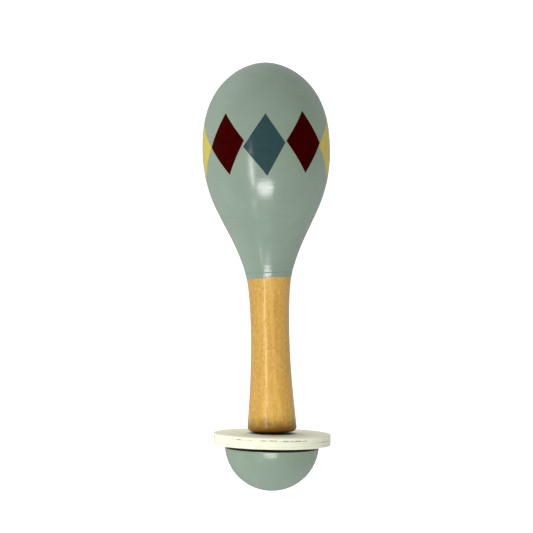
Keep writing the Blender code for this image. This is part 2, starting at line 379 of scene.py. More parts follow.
def grid_faces(index, looped, closed=True):
    """Four-cornered faces between neighbours of a grid of indices, wound to face outwards.

    Looped joins the last row to the first, and closed the last column to the first.
    """
    below = np.roll(index, -1, axis=0)
    beside = np.roll(index, -1, axis=1)
    corner = np.roll(below, -1, axis=1)
    faces = np.stack((index, below, corner, beside), axis=-1)
    rows = slice(None) if looped else slice(-1)
    columns = slice(None) if closed else slice(-1)
    return faces[rows, columns]


def fresh_mesh(name):
    """An empty mesh of that name. One that an earlier run made is taken away with its object."""
    old = bpy.data.meshes.get(name)
    if old is not None:
        bpy.data.meshes.remove(old)
    return bpy.data.meshes.new(name)


def ring_mesh(name, grid, looped=False, fields=None):
    """Mesh of a grid of rings. A first or last ring that has shrunk to a point becomes one vertex,
    and the band next to it a fan of triangles."""
    rows, columns, _ = grid.shape
    index = np.arange(rows * columns).reshape(rows, columns)
    tips = [not looped and np.ptp(grid[end], axis=0).max() < POINT_SIZE for end in (0, -1)]
    for tip, end in zip(tips, (0, -1)):
        if tip:
            index[end] = index[end, 0]
    used, index = np.unique(index, return_inverse=True)
    faces = grid_faces(index.reshape(rows, columns), looped)
    fans = []
    if tips[0]:
        fans += faces[0][:, [0, 1, 2]].tolist()
        faces = faces[1:]
    if tips[1]:
        fans += faces[-1][:, [0, 1, 3]].tolist()
        faces = faces[:-1]
    mesh = fresh_mesh(name)
    mesh.from_pydata(grid.reshape(-1, 3)[used].tolist(), [], faces.reshape(-1, 4).tolist() + fans)
    for field, values in (fields or {}).items():
        kind = "FLOAT" if values.ndim == 2 else "FLOAT_VECTOR"
        layer = mesh.attributes.new(field, kind, "POINT")
        flat = values.reshape(rows * columns, -1)[used].astype(np.float32)
        layer.data.foreach_set("value" if kind == "FLOAT" else "vector", flat.ravel())
    mesh.shade_smooth()
    return mesh


def placed(name, data):
    """A new object of that name in the scene, in place of one that an earlier run made."""
    old = bpy.data.objects.get(name)
    if old is not None:
        bpy.data.objects.remove(old)
    thing = bpy.data.objects.new(name, data)
    bpy.context.scene.collection.objects.link(thing)
    return thing


def piece(mesh, material, body, slot, *nodes):
    """Puts a finished mesh into the scene on its body, in place of the solids that it dresses."""
    thing = placed(mesh.name, mesh)
    mesh.materials.append(material)
    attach(thing, body)
    if nodes:
        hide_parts(*nodes)


# Relief of the turned parts. Each wave of the lathe rings: its share, its length and its drift
RING_WAVES = ((1.0, 1.0, 0.9), (0.8, 1.73, 1.7), (1.3, 2.91, 0.6))
TOOL_MARK_Z = 0.0383
TOOL_MARK_WIDTH = 0.00016
TOOL_MARK_DEPTH = 0.000018
TOOL_MARK_TURN = math.radians(17)
TOOL_MARK_REACH = math.radians(22)
NECK_FADE = 0.0040
LAP_TILT = 0.00040
LAP_SIDE = 0.00027
LAP_WAVE = 0.00004
LAP_WAVES, LAP_WAVE_START = 5, 1.0
SEAM_SIDE = 0.00022
SEAM_WAVE = 0.00009
SEAM_WAVES, SEAM_WAVE_START = 3, 0.6
SEAM_JOG = 0.00016
SEAM_JOG_TURN = math.radians(-14)
SEAM_JOG_REACH = math.radians(9)
FOOT_SAG = 0.00030
FOOT_SKEW = 0.018
FOOT_FADE = 0.0120


def bell(values, middle, reach):
    """Smooth bump of height 1: exp(-((v - middle) / reach)^2)."""
    return np.exp(-(((values - middle) / reach) ** 2))


def lathe_rings(height, turn, marks):
    """Swell of the lathe rings: sines along the height, each of its own length and drift round the turn."""
    swell = 0.0
    for share, longer, drift in RING_WAVES:
        phase = 2 * math.pi * height / (marks.ring_spacing * longer)
        swell = swell + share * np.sin(phase + drift * np.sin(turn + longer))
    return marks.ring_depth * swell


def head_swell(height, turn, marks):
    """Relief of the head: lathe rings, a bead of paint on the seam and one short tool mark."""
    bead = marks.seam_ridge * bell(height, SEAM_Z, marks.seam_width)
    mark = bell(height, TOOL_MARK_Z, TOOL_MARK_WIDTH) * bell(turn, TOOL_MARK_TURN, TOOL_MARK_REACH)
    return lathe_rings(height, turn, marks) + bead - TOOL_MARK_DEPTH * mark


def seam_wave(turn):
    """Rise and fall of the neck's joint round the axis: a slight tilt, three waves and one jog."""
    jog = SEAM_JOG * bell(turn, SEAM_JOG_TURN, SEAM_JOG_REACH)
    wave = SEAM_WAVE * np.sin(SEAM_WAVES * turn + SEAM_WAVE_START)
    return SEAM_SIDE * np.sin(turn) + wave - jog


def neck_rise(height, turn):
    """The joint's wave, dying out a few millimetres above and below it."""
    return seam_wave(turn) * np.clip(1 - np.abs(height - NECK_Z) / NECK_FADE, 0.0, 1.0)


def foot_drop(radius, height, turn):
    """How far the foot's end hangs below a square cut: a sag and a slope to the right, both dying out
    evenly up the handle."""
    nearness = np.clip(1 - (height - FOOT_Z) / FOOT_FADE, 0.0, 1.0)
    return nearness * (FOOT_SAG + FOOT_SKEW * radius * np.sin(turn))


def lap_edge(turn, marks):
    """Lower edge of the sage paint on the handle: a tilted ring with five slight waves."""
    tilt = LAP_TILT * (np.cos(turn) - 1.0) + LAP_SIDE * np.sin(turn)
    wave = LAP_WAVE * np.sin(LAP_WAVES * turn + LAP_WAVE_START)
    return NECK_Z - marks.lap_length + LAP_TILT / 2 + tilt + wave


# Sockets of the colour mix node, by their places
MIX_FACTOR, MIX_A, MIX_B, MIX_RESULT = 0, 6, 7, 2


def opaque(colour):
    """A colour with full cover."""
    return (*colour, 1.0)


def shade(colour, factor):
    """The colour made lighter or darker, kept within what a surface can return."""
    return tuple(min(1.0, part * factor) for part in colour)


def add(tree, kind, sockets=None, **settings):
    """A node of that kind. Sockets take a number or colour, or another node's output to be linked."""
    node = tree.nodes.new(kind)
    for name, value in settings.items():
        setattr(node, name, value)
    for name, value in (sockets or {}).items():
        if isinstance(value, bpy.types.NodeSocket):
            tree.links.new(value, node.inputs[name])
        else:
            node.inputs[name].default_value = value
    return node


def new_finish(name, **constants):
    """A material with its shader, whose sockets hold the values that are the same all over.

    Pieces that wear an earlier material of that name change over to it.
    """
    old = bpy.data.materials.get(name)
    material = bpy.data.materials.new(name)
    if old is not None:
        old.user_remap(material)
        bpy.data.materials.remove(old)
        material.name = name
    material.use_nodes = True
    shader = material.node_tree.nodes["Principled BSDF"]
    for socket, value in constants.items():
        shader.inputs[socket.replace("_", " ")].default_value = value
    return material, material.node_tree, shader


def feed(shader, **sockets):
    """Links outputs to the shader's sockets of those names."""
    for socket, value in sockets.items():
        shader.id_data.links.new(value, shader.inputs[socket.replace("_", " ")])


def object_place(tree):
    """Places on the piece in metres, which go with it when it moves."""
    return add(tree, "ShaderNodeTexCoord").outputs["Object"]


def own_place(tree, field):
    """Places that the piece's own attribute holds."""
    return add(tree, "ShaderNodeAttribute", attribute_name=field).outputs["Vector"]


def own_amount(tree, field):
    """A number that the piece's own attribute holds."""
    return add(tree, "ShaderNodeAttribute", attribute_name=field).outputs["Fac"]


def noise(tree, place, scale, detail=2.0, roughness=0.5, stretch_by=(1.0, 1.0, 1.0)):
    """Soft noise with so many spots to the metre, drawn out along an axis where stretch_by is small."""
    mapped = add(tree, "ShaderNodeMapping", {"Vector": place, "Scale": stretch_by}).outputs["Vector"]
    sockets = {"Vector": mapped, "Scale": scale, "Detail": detail, "Roughness": roughness}
    return add(tree, "ShaderNodeTexNoise", sockets).outputs["Fac"]


def ramp(tree, value, *stops):
    """Colours along a value; each stop is a position and a colour."""
    node = add(tree, "ShaderNodeValToRGB", {"Fac": value})
    elements = node.color_ramp.elements
    while len(elements) < len(stops):
        elements.new(1.0)
    for element, (position, colour) in zip(elements, stops):
        element.position = position
        element.color = opaque(colour)
    return node.outputs["Color"]


def spread(tree, value, low, high, to_low=0.0, to_high=1.0):
    """The value's stretch from low to high laid over to_low to to_high, and held at the ends."""
    sockets = {"Value": value, "From Min": low, "From Max": high, "To Min": to_low, "To Max": to_high}
    return add(tree, "ShaderNodeMapRange", sockets).outputs["Result"]


def fade(tree, value, levels, origin=0.0):
    """0 up to a first level, then rising evenly to a strength at a second. Both count from the origin."""
    start, full, strength = levels
    return spread(tree, value, origin + start, origin + full, 0.0, strength)


def worked(tree, operation, *values):
    """One step of arithmetic on numbers and outputs."""
    return add(tree, "ShaderNodeMath", dict(enumerate(values)), operation=operation).outputs["Value"]


def mix(tree, factor, first, second):
    """One colour fading into another; each is a colour or a socket."""
    node = add(tree, "ShaderNodeMix", data_type="RGBA")
    for slot, value in ((MIX_FACTOR, factor), (MIX_A, first), (MIX_B, second)):
        if isinstance(value, bpy.types.NodeSocket):
            tree.links.new(value, node.inputs[slot])
        else:
            node.inputs[slot].default_value = value if slot == MIX_FACTOR else opaque(value)
    return node.outputs[MIX_RESULT]


def bump(tree, height, depth, under=None):
    """Normals of a relief that is depth metres high from the darkest to the lightest of a value."""
    sockets = {"Height": height, "Distance": depth, "Strength": 1.0}
    if under is not None:
        sockets["Normal"] = under
    return add(tree, "ShaderNodeBump", sockets).outputs["Normal"]


# Finishes
HEAD_SHINE = 0.95
KNOB_SHINE = 0.64
# Sage darkened to near black: painted shade for the knob's top in the slot under the disc
GAP_SHADE_SAGE = 0.05


def sage_paint(name, scene, shine):
    """Satin paint over turned wood: faint clouds of tone, fine lathe rings and a little orange peel.

    Where the piece has a shade attribute, as on the knob's top, it is painted near black: painted shade for
    the slot under the disc.
    """
    paint = scene.maraca_paint
    material, tree, shader = new_finish(name, Specular_IOR_Level=shine)
    place = object_place(tree)
    clouds = noise(tree, place, 90.0, 4.0, 0.6)
    tone = ramp(tree, clouds, (0.3, shade(paint.sage, 0.96)), (0.7, shade(paint.sage, 1.04)))
    specks = noise(tree, place, 2600.0, 1.0)
    speck = spread(tree, specks, 0.70, 0.80, 0.0, 0.35)
    fresh = mix(tree, speck, tone, shade(paint.sage, 1.25))
    # Painted shade where the piece's shade attribute is set
    shaded = mix(tree, own_amount(tree, "rub"), fresh, shade(paint.sage, GAP_SHADE_SAGE))
    gloss = noise(tree, place, 240.0, 3.0)
    roughness = spread(tree, gloss, 0.3, 0.7, paint.roughness - 0.03, paint.roughness + 0.04)
    rings = noise(tree, place, 640.0, 3.0, 0.6, (0.05, 0.05, 1.0))
    peel = noise(tree, place, 1100.0, 2.0)
    relief = bump(tree, peel, 0.000006, bump(tree, rings, 0.000012))
    feed(shader, Base_Color=shaded, Roughness=roughness, Normal=relief)
    return material


def diamond_paint(name, colour, mottle, shine):
    """Thicker paint of the diamonds: a soft mottle and a brushed, slightly pulled surface."""
    material, tree, shader = new_finish(name, Specular_IOR_Level=shine)
    place = object_place(tree)
    clouds = noise(tree, place, 420.0, 2.0, 0.6)
    tone = ramp(tree, clouds, (0.3, shade(colour, 1.0 - mottle)), (0.72, shade(colour, 1.0 + mottle)))
    gloss = noise(tree, place, 130.0, 0.0)
    roughness = spread(tree, gloss, 0.2, 0.8, 0.17, 0.23)
    pull = noise(tree, place, 260.0, 1.0, 0.5, (0.3, 0.3, 1.0))
    feed(shader, Base_Color=tone, Roughness=roughness, Normal=bump(tree, pull, 0.000010))
    return material


VARNISH_TINT = (1.0, 0.82, 0.48)
# Painted shade on each side of the handle: where it starts and is full to the side of the axis, and how
# strong it is
LEFT_SIDE_SHADE = (-0.0038, -0.0062, 0.60)
RIGHT_SIDE_SHADE = (0.0040, 0.0085, 0.30)
# Changes near the foot: heights above its end where each starts and is full, and how strong it is
# Painted light: how far up the wood is lightened towards the foot
PAINTED_LIGHT_LOW = (0.0300, 0.0120, 0.13)
# Soil above the rounding and stain on it, partly real and partly painted shade from the disc
SOIL_AND_SHADE = (0.0110, 0.0078, 0.51)
STAIN_AND_SHADE = (0.0027, 0.0015, 0.95)
# Painted shade: the lowest edge darkened to near black over the gap above the disc
GAP_SHADE_EDGE = (0.0012, -0.0002, 0.90)
VARNISHED = (0.0016, 0.0034, 0.62)
BLOTCH_WANDER = 0.010


def honey_varnish(name, scene):
    """Varnished close-grained wood: long bands, short flecks and pores along Z, with painted shade on both
    sides.

    Towards the foot it is lightened as painted light. Above the foot's rounding it is darkened in blotches
    and on the rounding itself, partly soil and stain and partly painted shade from the disc; its lowest
    edge is painted near black as shade, and its varnish is worn off.
    """
    wood = scene.maraca_wood
    material, tree, shader = new_finish(
        name, Specular_IOR_Level=0.45, Specular_Tint=opaque(VARNISH_TINT), Coat_Roughness=0.20
    )
    place = object_place(tree)
    axes = add(tree, "ShaderNodeSeparateXYZ", {"Vector": place}).outputs
    height = axes["Z"]
    bands = noise(tree, place, 420.0, 4.0, 0.6, (1.0, 1.0, 0.04))
    body = ramp(tree, bands, (0.38, wood.amber), (0.60, wood.honey))
    # Painted shade: both sides of the handle darkened
    shaded_sides = [fade(tree, axes["X"], levels) for levels in (LEFT_SIDE_SHADE, RIGHT_SIDE_SHADE)]
    body = mix(tree, worked(tree, "ADD", *shaded_sides), body, wood.side_shade)
    # Painted light: the wood lightened towards the foot
    painted_light = worked(tree, "ADD", fade(tree, height, PAINTED_LIGHT_LOW, FOOT_Z), 1.0)
    body = add(tree, "ShaderNodeVectorMath", {0: body, "Scale": painted_light}, operation="SCALE").outputs["Vector"]
    flecks = noise(tree, place, 1100.0, 3.0, 0.65, (1.0, 1.0, 0.6))
    flecked = mix(tree, spread(tree, flecks, 0.46, 0.72, 0.0, 0.55), body, wood.fleck)
    pores = noise(tree, place, 1300.0, 3.0, 0.6, (1.0, 1.0, 0.5))
    pored = mix(tree, spread(tree, pores, 0.48, 0.30, 0.0, 0.5), flecked, shade(wood.amber, 0.75))
    # Darker in blotches above the foot's rounding and darker on the rounding: partly soil and stain, partly
    # painted shade from the disc
    blotches = noise(tree, place, 190.0, 5.0, 0.65)
    wander = worked(tree, "MULTIPLY_ADD", blotches, BLOTCH_WANDER, height)
    soil_and_shade = mix(tree, fade(tree, wander, SOIL_AND_SHADE, FOOT_Z), pored, shade(wood.foot_stain_and_shade, 0.30))
    stain_and_shade = mix(tree, fade(tree, height, STAIN_AND_SHADE, FOOT_Z), soil_and_shade, wood.foot_stain_and_shade)
    # The foot's lowest edge painted near black: painted shade over the gap above the disc
    edge_shaded = mix(tree, fade(tree, height, GAP_SHADE_EDGE, FOOT_Z), stain_and_shade, shade(wood.foot_stain_and_shade, 0.05))
    roughness = spread(tree, bands, 0.3, 0.7, 0.27, 0.22)
    waver = noise(tree, place, 330.0, 2.0, 0.5, (1.0, 1.0, 0.7))
    sparkle = noise(tree, place, 1400.0, 2.0, 0.6)
    varnish = bump(tree, sparkle, 0.00003, bump(tree, waver, 0.00014))
    coat = fade(tree, height, VARNISHED, FOOT_Z)
    feed(shader, Base_Color=edge_shaded, Roughness=roughness, Coat_Weight=coat)
    feed(shader, Normal=varnish, Coat_Normal=varnish)
    return material


CRACK_DARK = (0.15, 0.145, 0.10)
# Cream darkened to near black: painted shade near the hole, under the foot and over the knob
GAP_SHADE_CREAM = 0.03


def cream_paint(name, scene):
    """Thin paint on plywood: faint grain, painted shade near the hole on both faces and a painted shadow of
    the foot on the top, torn voids along the glue lines.
    """
    paint = scene.maraca_paint
    material, tree, shader = new_finish(name, Specular_IOR_Level=0.3)
    place = own_place(tree, "disc_place")
    clouds = noise(tree, place, 160.0, 4.0, 0.6)
    tone = ramp(tree, clouds, (0.3, shade(paint.cream, 0.975)), (0.7, shade(paint.cream, 1.03)))
    grain = noise(tree, place, 900.0, 3.0, 0.6, (0.08, 1.0, 1.0))
    grained = mix(tree, spread(tree, grain, 0.54, 0.70, 0.0, 0.35), tone, shade(paint.cream, 0.80))
    # Painted shade and the painted shadow of the foot, where the shade attribute is set
    shaded = mix(tree, own_amount(tree, "rub"), grained, shade(paint.cream, GAP_SHADE_CREAM))
    void = own_amount(tree, "void")
    lined = mix(tree, spread(tree, void, 0.1, 1.0, 0.0, 0.35), shaded, shade(paint.cream, 0.5))
    torn = noise(tree, place, 2300.0, 3.0, 0.7, (1.0, 1.0, 1.7))
    ragged = worked(tree, "MULTIPLY_ADD", void, 0.6, torn)
    cracked = mix(tree, spread(tree, ragged, 0.80, 1.10, 0.0, 0.8), lined, CRACK_DARK)
    roughness = spread(tree, clouds, 0.3, 0.7, 0.50, 0.62)
    fuzz = noise(tree, place, 1700.0, 3.0, 0.6)
    relief = bump(tree, fuzz, 0.00002, bump(tree, grain, 0.00004))
    feed(shader, Base_Color=cracked, Roughness=roughness, Normal=relief)
    return material


def bare_dowel(name, scene):
    """Bare turned dowel, coloured dark as painted shade for the gap under the foot, with fine pores along
    its length.
    """
    wood = scene.maraca_wood
    material, tree, shader = new_finish(name, Specular_IOR_Level=0.25)
    place = own_place(tree, "dowel_place")
    streaks = noise(tree, place, 900.0, 4.0, 0.6, (1.0, 1.0, 0.06))
    tone = ramp(tree, streaks, (0.35, shade(wood.dowel, 0.78)), (0.65, shade(wood.dowel, 1.05)))
    roughness = spread(tree, streaks, 0.3, 0.7, 0.7, 0.55)
    feed(shader, Base_Color=tone, Roughness=roughness, Normal=bump(tree, streaks, 0.00005))
    return material


STEEL_DARK = (0.33, 0.33, 0.34)
STEEL_LIGHT = (0.56, 0.56, 0.57)


def pellet_steel(name):
    """Small steel shot: dull grey metal with fine scuffs."""
    material, tree, shader = new_finish(name, Metallic=1.0)
    place = object_place(tree)
    scuffs = noise(tree, place, 2800.0, 4.0, 0.7)
    tone = ramp(tree, scuffs, (0.35, STEEL_DARK), (0.7, STEEL_LIGHT))
    roughness = spread(tree, scuffs, 0.3, 0.7, 0.28, 0.5)
    feed(shader, Base_Color=tone, Roughness=roughness, Normal=bump(tree, scuffs, 0.00002))
    return material


def head_paint(scene):
    """The sage paint that head and neck share."""
    return sage_paint("satin_sage", scene, HEAD_SHINE)


# Pieces
def rebate_radius():
    """Radius of the step in the dome's mouth that takes the funnel's spigot."""
    return radius_at(inset(head_outline(), WALL), SPIGOT_TOP + GAP) + REBATE_STEP


def make_head_dome(scene):
    """The dome: its outline turned with relief, then mouth, rebate and the inside wall back up."""
    marks = scene.maraca_turning
    outside = head_outline()
    rebate_top = SPIGOT_TOP + GAP
    rebate = rebate_radius()
    outer = spaced(stretch(outside, CROWN_Z, SEAM_Z), FINE_STEP)
    inside = spaced(stretch(inset(outside, WALL), CROWN_Z - WALL, rebate_top), COARSE_STEP)
    mouth = straight(outer[-1], (rebate, SEAM_Z), (rebate, rebate_top))
    line = joined(outer, mouth, inside[::-1])
    shown = np.zeros((len(line), 1))
    shown[:len(outer)] = 1.0
    turn = turns(HEAD_COLUMNS)
    swell = shown * head_swell(line[:, 1:], turn, marks)
    swell[0] = swell[0].mean()
    mesh = ring_mesh("painted_head_dome", turned(line, HEAD_COLUMNS, swell))
    piece(mesh, head_paint(scene), "maraca", "sage_paint", "head_dome")


def make_head_funnel(scene):
    """The funnel: chamber floor, inside wall, spigot, outline with relief, rounded lower edge, socket."""
    marks = scene.maraca_turning
    outside = head_outline()
    inside = stretch(inset(outside, WALL), SEAM_Z, CHAMBER_FLOOR)
    spigot = rebate_radius() - GAP
    socket = TENON_RADIUS + GAP
    crease = marks.neck_crease
    outer = spaced(stretch(outside, SEAM_Z, NECK_Z + crease), FINE_STEP)
    wall = spaced(inside[::-1], COARSE_STEP)
    rounding = arc((outer[-1, 0] - crease, NECK_Z + crease), crease, 0, -90)
    line = joined(
        straight((0.0, CHAMBER_FLOOR), wall[0]),
        wall,
        straight(wall[-1], (wall[-1, 0], SPIGOT_TOP), (spigot, SPIGOT_TOP), (spigot, SEAM_Z), outer[0]),
        outer,
        rounding,
        straight(rounding[-1], (socket, NECK_Z), (socket, SOCKET_TOP), (0.0, SOCKET_TOP)),
    )
    turn = turns(HEAD_COLUMNS)
    surface = radius_at(outside, line[:, 1:])
    shown = (np.abs(line[:, :1] - surface) < crease) & (line[:, 1:] <= SEAM_Z)
    swell = shown * head_swell(line[:, 1:], turn, marks)
    below_floor = line[:, 1:] < SOCKET_TOP
    rise = below_floor * neck_rise(line[:, 1:], turn)
    mesh = ring_mesh("painted_head_funnel", turned(line, HEAD_COLUMNS, swell, rise))
    piece(mesh, head_paint(scene), "maraca", "sage_paint", "head_funnel")


def shoulder_line(crease):
    """The handle's shoulder and side, rounded where they meet, down to the foot's rounding."""
    side = stretch(handle_outline(), NECK_Z - crease, FOOT_Z + FOOT_ROUND)
    rounding = arc((side[0, 0] - crease, NECK_Z - crease), crease, 90, 0)
    return rounding, side


def make_handle(scene):
    """The handle: tenon, shoulder, waisted side, rounded foot and the leaning bore."""
    marks = scene.maraca_turning
    rounding, side = shoulder_line(marks.neck_crease)
    foot = (side[-1, 0] - FOOT_ROUND, FOOT_Z + FOOT_ROUND)
    bore = SPINDLE_RADIUS + GAP
    outer = spaced(side, WOOD_STEP)
    line = joined(
        straight((0.0, TENON_TOP), (TENON_RADIUS - TENON_CHAMFER, TENON_TOP)),
        straight((TENON_RADIUS, TENON_TOP - TENON_CHAMFER), (TENON_RADIUS, NECK_Z), rounding[0]),
        rounding,
        outer,
        arc(foot, FOOT_ROUND, 0, -90),
        straight((foot[0], FOOT_Z), (bore, FOOT_Z)),
    )
    turn = turns(HANDLE_COLUMNS)
    on_side = (line[:, :1] > TENON_RADIUS + GAP) & (line[:, 1:] < NECK_Z)
    swell = on_side * lathe_rings(line[:, 1:], turn, marks)
    rise = (line[:, :1] > TENON_RADIUS + GAP) * neck_rise(line[:, 1:], turn)
    rise = rise - foot_drop(line[:, :1], line[:, 1:], turn)
    body = turned(line, HANDLE_COLUMNS, swell, rise)
    hole = joined(straight((bore, 0.0), (bore, HANDLE_BORE_DEPTH), (0.0, HANDLE_BORE_DEPTH)))
    drilled = leaning(turned(hole[1:], HANDLE_COLUMNS))
    mesh = ring_mesh("varnished_handle", np.concatenate((body, drilled)))
    material = honey_varnish("honey_wood", scene)
    piece(mesh, material, "maraca", "honey_varnish", "handle")


LAP_ROWS = 24
LAP_ROW_POWER = 0.8
LAP_LIP = 0.00012
LAP_HOLD = 0.00003


def make_paint_lap(scene):
    """The sage paint on the handle's top: a film over the shoulder and down to the lap's tilted edge.

    Its outside is the handle's line moved out by the film, which thins to nothing over the lip.
    Its inside is the same line moved in a little, so that no gap shows under the lip.
    """
    marks = scene.maraca_turning
    turn = turns(HANDLE_COLUMNS)
    rounding, _ = shoulder_line(marks.neck_crease)
    start = rounding[0] - (marks.neck_crease * 2, 0.0)
    shoulder = joined(straight(start, rounding[0], step=marks.neck_crease), rounding)
    top = rounding[-1, 1]
    fall = np.linspace(0.0, 1.0, LAP_ROWS)[1:, None] ** LAP_ROW_POWER
    side_height = top + fall * (lap_edge(turn, marks) - top)
    side_radius = radius_at(handle_outline(), side_height)
    height = np.vstack((np.broadcast_to(shoulder[:, 1:], (len(shoulder), len(turn))), side_height))
    radius = np.vstack((np.broadcast_to(shoulder[:, :1], (len(shoulder), len(turn))), side_radius))
    normal = outward(np.column_stack((radius.mean(axis=1), height.mean(axis=1))))
    left = height - lap_edge(turn, marks)
    film = marks.lap_film * np.sqrt(np.clip(left / LAP_LIP, 0.0, 1.0))
    layers = []
    for thickness in (film, np.full_like(film, -LAP_HOLD)):
        layers.append(swept(
            radius + normal[:, :1] * thickness,
            height + normal[:, 1:] * thickness + neck_rise(height, turn),
            turn,
        ))
    grid = np.concatenate((layers[0], layers[1][::-1]))
    mesh = ring_mesh("neck_paint_lap", grid, looped=True)
    piece(mesh, head_paint(scene), "maraca", "sage_paint")


# Each diamond: colour, turn from the front in degrees, then in millimetres its lift, the rise of its
# right corner over its left, the set of its top tip to the right of its bottom one, both tips' set, and
# how much shorter each of its halves is than the band's half height
DIAMONDS = (
    ("slate_blue", -1.8, -0.7, 1.4, -0.3, 1.0, 0.0),
    ("burgundy", 36.8, 0.5, -0.5, -0.7, 0.1, 0.0),
    ("yellow", 73.2, -1.8, -2.6, 0.4, 1.2, 0.7),
    ("burgundy", 117.4, -0.2, -0.6, 0.5, 0.2, 0.2),
    ("slate_blue", 159.2, 0.3, 0.5, -0.6, -0.3, 0.0),
    ("yellow", -159.1, -0.3, 0.8, -0.3, 0.4, 0.3),
    ("burgundy", -117.3, 0.2, -0.5, 0.6, 0.0, 0.1),
    ("yellow", -76.3, -1.8, 2.0, -0.6, -0.8, 1.6),
    ("burgundy", -38.6, 0.3, 2.3, -2.2, 0.3, 0.0),
)
# Mottle and shine of each colour
DIAMOND_LOOKS = {"burgundy": (0.25, 0.03), "slate_blue": (0.06, 0.28), "yellow": (0.04, 0.40)}
# Rows of a diamond next to its edge, as shares of its side
EDGE_MARKS = (0.0, 0.003, 0.006, 0.010, 0.015, 0.022, 0.032)
DIAMOND_CELLS = 20
DIAMOND_SPAN = 0.0164
DIAMOND_LIP = 0.00010
BEAD_PLACE = 0.00022
DIAMOND_HOLD = 0.00004


def diamond_grid(band, marks, turn, lift, slant, lean, drift, short):
    """One diamond as a closed film on the dome.

    Two parameters s and t run from 0 to 1 along its sides, and its place is the blend of its corners:
    (1-s)(1-t) left + s(1-t) top + (1-s)t bottom + st right, as arc length and height on the head.
    The outside is that place moved along the head's normal by the film, which is nothing at the edge,
    then rises over the lip and carries a bead; the inside is the same place moved in a little.
    """
    marks_in = np.array(EDGE_MARKS)
    middle = np.linspace(EDGE_MARKS[-1], 1 - EDGE_MARKS[-1], DIAMOND_CELLS)
    along = np.concatenate((marks_in, middle[1:-1], 1 - marks_in[::-1]))
    s, t = np.meshgrid(along, along, indexing="ij")
    left = np.array((-band.half_width, -slant * MM / 2))
    right = -left
    tip = band.half_height - short * MM
    top = np.array(((drift + lean / 2) * MM, tip))
    bottom = np.array(((drift - lean / 2) * MM, -tip))
    weights = ((1 - s) * (1 - t), s * (1 - t), (1 - s) * t, s * t)
    place = sum(w[..., None] * corner for w, corner in zip(weights, (left, top, bottom, right)))
    height = band.height + lift * MM + place[..., 1]
    angle = math.radians(turn) + place[..., 0] / HEAD_RADIUS
    outside = head_outline()
    radius = radius_at(outside, height)
    normal = outward(outside)
    across = np.interp(height, outside[::-1, 1], normal[::-1, 0])
    upward = np.interp(height, outside[::-1, 1], normal[::-1, 1])
    inwards = np.minimum(np.minimum(s, 1 - s), np.minimum(t, 1 - t)) * DIAMOND_SPAN
    film = band.film * np.sqrt(np.clip(inwards / DIAMOND_LIP, 0.0, 1.0))
    film = film + band.bead * bell(inwards, BEAD_PLACE, DIAMOND_LIP)
    film[inwards == 0.0] = -DIAMOND_HOLD
    swell = head_swell(height, angle, marks)
    layers = []
    for depth in (swell + film, np.full_like(film, -DIAMOND_HOLD)):
        layers.append(swept(radius + across * depth, height + upward * depth, angle))
    return layers


def diamond_faces(size, offset):
    """Faces of a closed film: the outside grid, the inside grid turned over, sharing the same border."""
    outer = np.arange(size * size).reshape(size, size) + offset
    inner = np.arange(size * size).reshape(size, size) + offset + size * size
    inner[0], inner[-1], inner[:, 0], inner[:, -1] = outer[0], outer[-1], outer[:, 0], outer[:, -1]
    shown = grid_faces(outer, looped=False, closed=False).reshape(-1, 4)
    hidden = grid_faces(inner, looped=False, closed=False).reshape(-1, 4)[:, ::-1]
    return np.concatenate((shown, hidden))


def make_diamonds(scene):
    """The harlequin band: one film piece for each colour."""
    band = scene.maraca_band
    marks = scene.maraca_turning
    paint = scene.maraca_paint
    for colour, look in DIAMOND_LOOKS.items():
        points, faces, count = [], [], 0
        for row in DIAMONDS:
            if row[0] != colour:
                continue
            layers = diamond_grid(band, marks, *row[1:])
            size = layers[0].shape[0]
            faces.append(diamond_faces(size, count))
            points += [layer.reshape(-1, 3) for layer in layers]
            count += 2 * size * size
        points = np.concatenate(points)
        faces = np.concatenate(faces)
        used, faces = np.unique(faces, return_inverse=True)
        mesh = fresh_mesh(colour + "_diamonds")
        mesh.from_pydata(points[used].tolist(), [], faces.reshape(-1, 4).tolist())
        mesh.shade_smooth()
        material = diamond_paint(colour + "_film", getattr(paint, colour), *look)
        piece(mesh, material, "maraca", colour + "_paint")


# Torn voids along the rim's upper glue line: first and last turn in degrees, darkness, height as a
# share of the glue line's, and how far below the glue line in millimetres
VOIDS = (
    (-83.0, -76.0, 0.9, 1.4, 0.4),
    (-47.0, -18.0, 0.8, 0.9, 0.0),
    (-39.0, -30.0, 1.0, 1.2, 0.0),
    (-12.0, 6.0, 0.9, 1.1, 0.0),
    (7.0, 36.0, 1.0, 1.2, 0.1),
    (43.0, 84.0, 0.5, 2.0, 1.3),
    (50.0, 74.0, 0.9, 1.2, 1.2),
    (112.0, 131.0, 0.9, 1.0, 0.2),
    (158.0, 176.0, 0.8, 0.9, 0.0),
    (-171.0, -150.0, 0.9, 1.2, 0.3),
    (-121.0, -104.0, 0.7, 0.8, 0.1),
)
VOID_EDGE = math.radians(3)
VOID_COVER, VOID_BITE = 0.85, 0.5
LOWER_GLUE_DARK, LOWER_GLUE_SHARE = 0.4, 0.6
# Each sine that bites into the voids: its count round the turn, its phase and its share
VOID_BITES = ((31, 0.4, 0.3), (53, 1.9, 0.25), (89, 3.1, 0.25))


